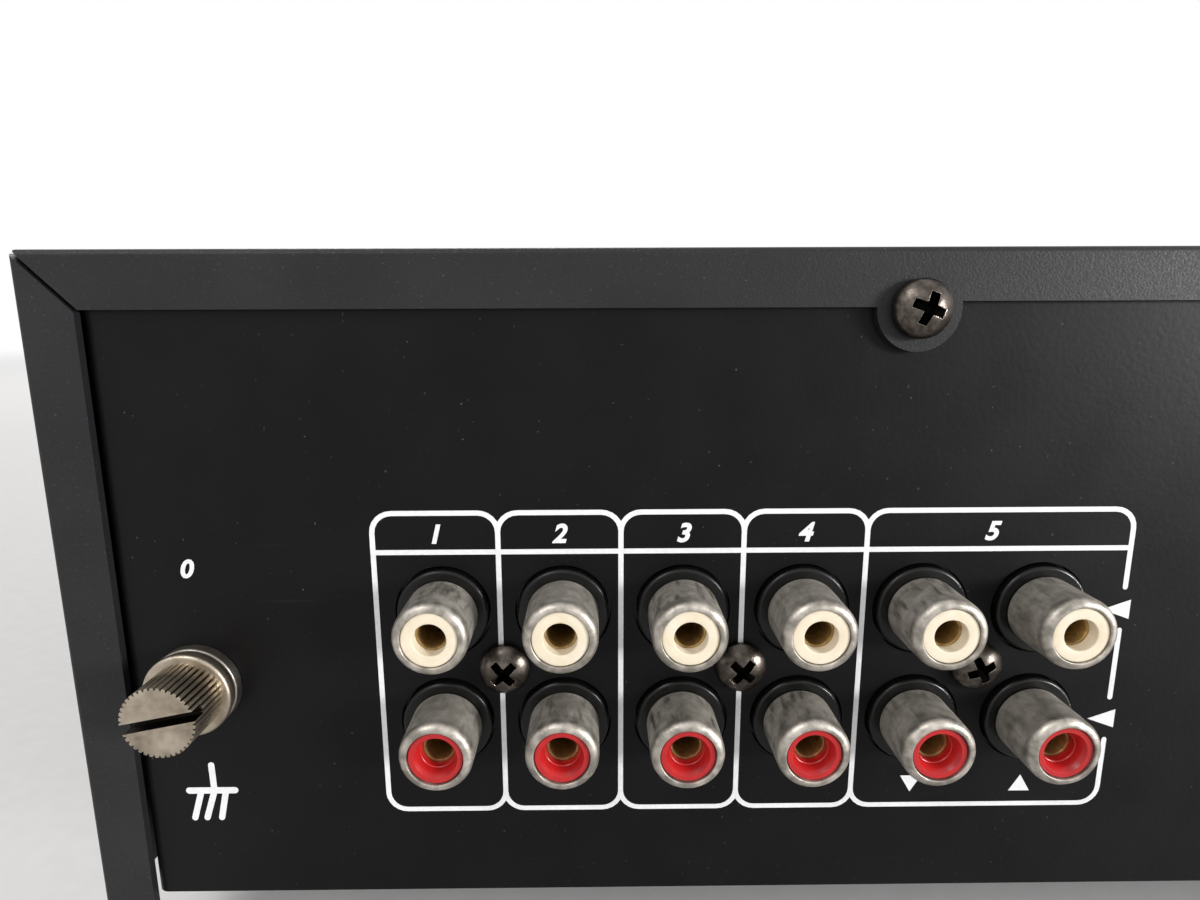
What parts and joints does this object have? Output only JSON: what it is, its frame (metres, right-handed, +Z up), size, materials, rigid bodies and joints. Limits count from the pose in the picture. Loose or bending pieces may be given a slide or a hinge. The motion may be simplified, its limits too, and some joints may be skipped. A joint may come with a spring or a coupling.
{
  "type": "integrated amplifier",
  "caption": "Slim black integrated amplifier with phono sockets, a ground terminal, lever speaker terminals and a mains inlet behind, and knobs and buttons in front.",
  "frame": {"origin": "middle of the footprint of the whole object, on the floor under its feet", "axes": "+Z up, +X along the width towards the phono sockets, +Y towards the rear panel; the front faces -Y"},
  "size_m": [0.4352, 0.3078, 0.0936],
  "materials": {
    "cover_paint": "fine textured black paint",
    "panel_paint": "satin black paint",
    "front_anodised": "black anodised, brushed along its length",
    "zinc_steel": "zinc-plated sheet",
    "zinc_screw": "zinc plated",
    "black_screw": "black oxide, worn on its edges",
    "foot_rubber": "matt moulded rubber",
    "black_moulding": "moulded black plastic",
    "nickel_plate": "dull nickel plate with scuffs",
    "ground_nickel": "knurled, warm nickel plate",
    "white_insulator": "cream-white moulding",
    "red_insulator": "red moulding",
    "brass_contact": "tarnished",
    "circuit_board": "laminated board",
    "red_lever": "moulded",
    "black_lever": "moulded",
    "lacquered_iron": "varnished laminations",
    "coil_wrap": "polyester tape over copper wire",
    "heat_sink_aluminium": "extruded",
    "chip_epoxy": "moulded epoxy",
    "capacitor_sleeve": "shrunk sleeve",
    "relay_case": "clear amber case",
    "fuse_glass": "clear tube",
    "knob_aluminium": "turned, black anodised",
    "shaft_steel": "turned bar",
    "switch_case": "pressed case",
    "button_moulding": "moulded black plastic",
    "lamp_lens": "clear red lens",
    "ribbon_insulation": "grey flat cable"
  },
  "bodies": {
    "case": {"top_cover": "cover_paint", "chassis_pan": "zinc_steel", "rear_panel": "panel_paint", "front_frame": "zinc_steel", "front_panel": "front_anodised", "feet": "foot_rubber", "foot_screws": "zinc_screw", "cover_screws": "black_screw", "front_panel_screws": "zinc_screw", "jack_blocks": "black_moulding", "jack_shells": "nickel_plate", "left_inserts": "white_insulator", "right_inserts": "red_insulator", "jack_contacts": "brass_contact", "terminal_screws": "black_screw", "input_board": "circuit_board", "ground_collar": "nickel_plate", "speaker_block": "black_moulding", "speaker_contacts": "brass_contact", "mains_inlet": "black_moulding", "mains_inlet_blades": "nickel_plate", "m3_screws": "black_screw", "transformer_core": "lacquered_iron", "transformer_coil": "coil_wrap", "transformer_strap": "zinc_steel", "transformer_screws": "zinc_screw", "main_board": "circuit_board", "heat_sink": "heat_sink_aluminium", "output_transistors": "chip_epoxy", "reservoir_capacitors": "capacitor_sleeve", "protection_relay": "relay_case", "fuses": "fuse_glass", "fuse_clips": "nickel_plate", "volume_pot": "switch_case", "tone_pots": "switch_case", "selector_switch": "switch_case", "push_switches": "switch_case", "headphone_socket": "black_moulding", "power_lamp": "lamp_lens", "control_board": "circuit_board", "ribbon_cable": "ribbon_insulation"},
    "volume": {"volume_knob": "knob_aluminium", "volume_shaft": "shaft_steel"},
    "selector": {"selector_knob": "knob_aluminium", "selector_shaft": "shaft_steel"},
    "bass": {"bass_knob": "knob_aluminium", "bass_shaft": "shaft_steel"},
    "treble": {"treble_knob": "knob_aluminium", "treble_shaft": "shaft_steel"},
    "balance": {"balance_knob": "knob_aluminium", "balance_shaft": "shaft_steel"},
    "power_button": {"power_button": "button_moulding"},
    "tape_button": {"tape_button": "button_moulding"},
    "loudness_button": {"loudness_button": "button_moulding"},
    "lever_1": {"speaker_lever_1": "red_lever"},
    "lever_2": {"speaker_lever_2": "black_lever"},
    "lever_3": {"speaker_lever_3": "red_lever"},
    "lever_4": {"speaker_lever_4": "black_lever"},
    "ground_washer": {"ground_washer": "nickel_plate"},
    "ground_screw": {"ground_screw": "ground_nickel"}
  },
  "joints": [
    {"name": "volume_turn", "type": "hinge", "parent": "case", "child": "volume", "pos_m": [0.165, -0.13591, 0.0524], "axis": [0, 1, 0], "range_deg": [0, 300]},
    {"name": "selector_turn", "type": "hinge", "parent": "case", "child": "selector", "pos_m": [0.105, -0.13591, 0.0524], "axis": [0, 1, 0], "range_deg": [-60, 60]},
    {"name": "bass_turn", "type": "hinge", "parent": "case", "child": "bass", "pos_m": [-0.12, -0.13591, 0.0524], "axis": [0, 1, 0], "range_deg": [-150, 150]},
    {"name": "treble_turn", "type": "hinge", "parent": "case", "child": "treble", "pos_m": [-0.088, -0.13591, 0.0524], "axis": [0, 1, 0], "range_deg": [-150, 150]},
    {"name": "balance_turn", "type": "hinge", "parent": "case", "child": "balance", "pos_m": [-0.056, -0.13591, 0.0524], "axis": [0, 1, 0], "range_deg": [-150, 150]},
    {"name": "power_button_press", "type": "slide", "parent": "case", "child": "power_button", "axis": [0, 1, 0], "range_m": [0, 0.003], "stiffness_N_per_m": 250},
    {"name": "tape_button_press", "type": "slide", "parent": "case", "child": "tape_button", "axis": [0, 1, 0], "range_m": [0, 0.003], "stiffness_N_per_m": 250},
    {"name": "loudness_button_press", "type": "slide", "parent": "case", "child": "loudness_button", "axis": [0, 1, 0], "range_m": [0, 0.003], "stiffness_N_per_m": 250},
    {"name": "lever_1_press", "type": "hinge", "parent": "case", "child": "lever_1", "pos_m": [0.05475, 0.13959, 0.0515], "axis": [-1, 0, 0], "range_deg": [0, 18], "stiffness_Nm_per_rad": 0.06, "springref_deg": -2.86},
    {"name": "lever_2_press", "type": "hinge", "parent": "case", "child": "lever_2", "pos_m": [0.03575, 0.13959, 0.0515], "axis": [-1, 0, 0], "range_deg": [0, 18], "stiffness_Nm_per_rad": 0.06, "springref_deg": -2.86},
    {"name": "lever_3_press", "type": "hinge", "parent": "case", "child": "lever_3", "pos_m": [0.01675, 0.13959, 0.0515], "axis": [-1, 0, 0], "range_deg": [0, 18], "stiffness_Nm_per_rad": 0.06, "springref_deg": -2.86},
    {"name": "lever_4_press", "type": "hinge", "parent": "case", "child": "lever_4", "pos_m": [-0.00225, 0.13959, 0.0515], "axis": [-1, 0, 0], "range_deg": [0, 18], "stiffness_Nm_per_rad": 0.06, "springref_deg": -2.86},
    {"name": "ground_travel", "type": "slide", "parent": "case", "child": "ground_washer", "axis": [0, 1, 0], "range_m": [-0.00058, 0.0029]},
    {"name": "ground_turn", "type": "hinge", "parent": "ground_washer", "child": "ground_screw", "pos_m": [0.20065, 0.14209, 0.0424], "axis": [0, 1, 0], "range_deg": [-300, 1500]}
  ],
  "couplings": [
    {"joint": "ground_turn", "follows": "ground_travel", "rad_per_m": 8976}
  ]
}
